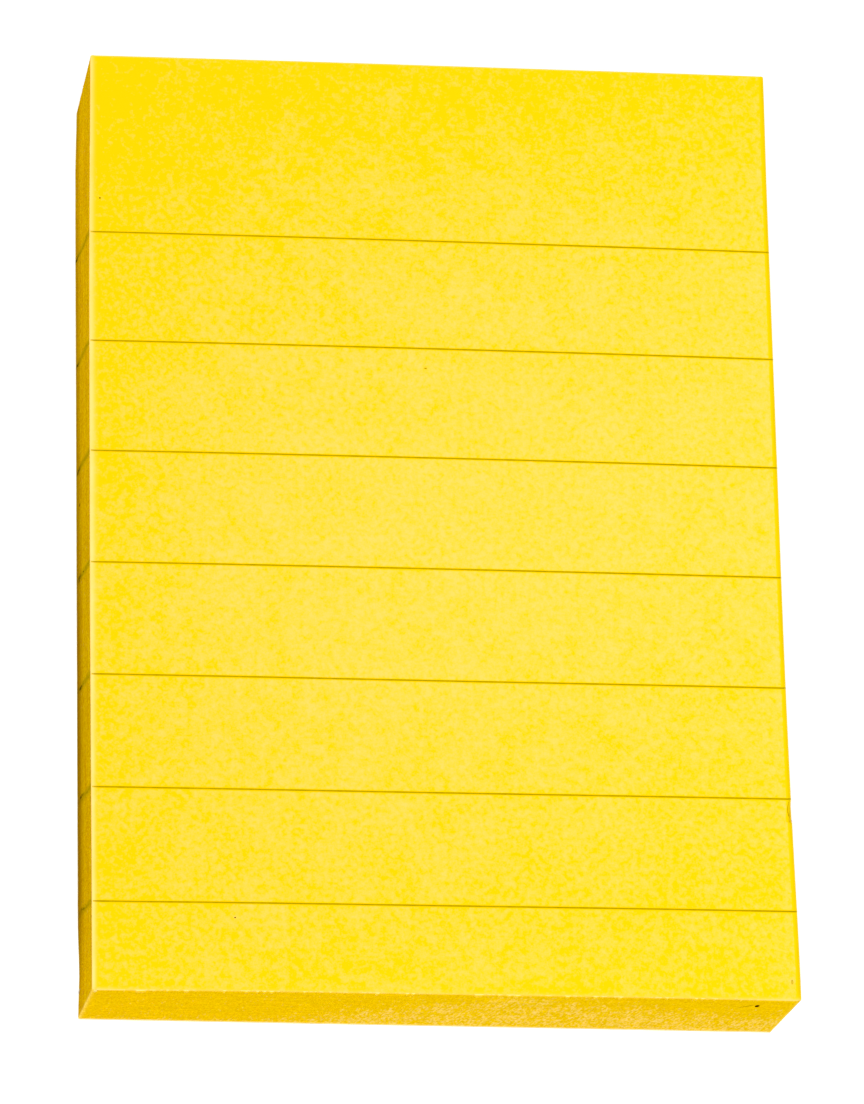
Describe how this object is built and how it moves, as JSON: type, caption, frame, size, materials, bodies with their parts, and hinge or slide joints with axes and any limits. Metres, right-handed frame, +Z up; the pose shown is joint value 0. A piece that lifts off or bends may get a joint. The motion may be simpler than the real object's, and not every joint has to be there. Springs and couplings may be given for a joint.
{
  "type": "sticky note pad",
  "caption": "Small ruled yellow self-stick note pad: a block of leaves glued along one short end, cut flush, lying flat on a pale release backing sheet.",
  "frame": {"origin": "on the table under the middle of the pad", "axes": "+X right across the ruled lines as the writing is read, +Y towards the glued end, +Z up out of the top note"},
  "size_m": [0.0366, 0.0513, 0.0082],
  "materials": {
    "note_paper": "matte",
    "release_paper": "satin"
  },
  "bodies": {
    "root": {"note_stack": "note_paper", "backing_sheet": "release_paper"}
  },
  "joints": []
}
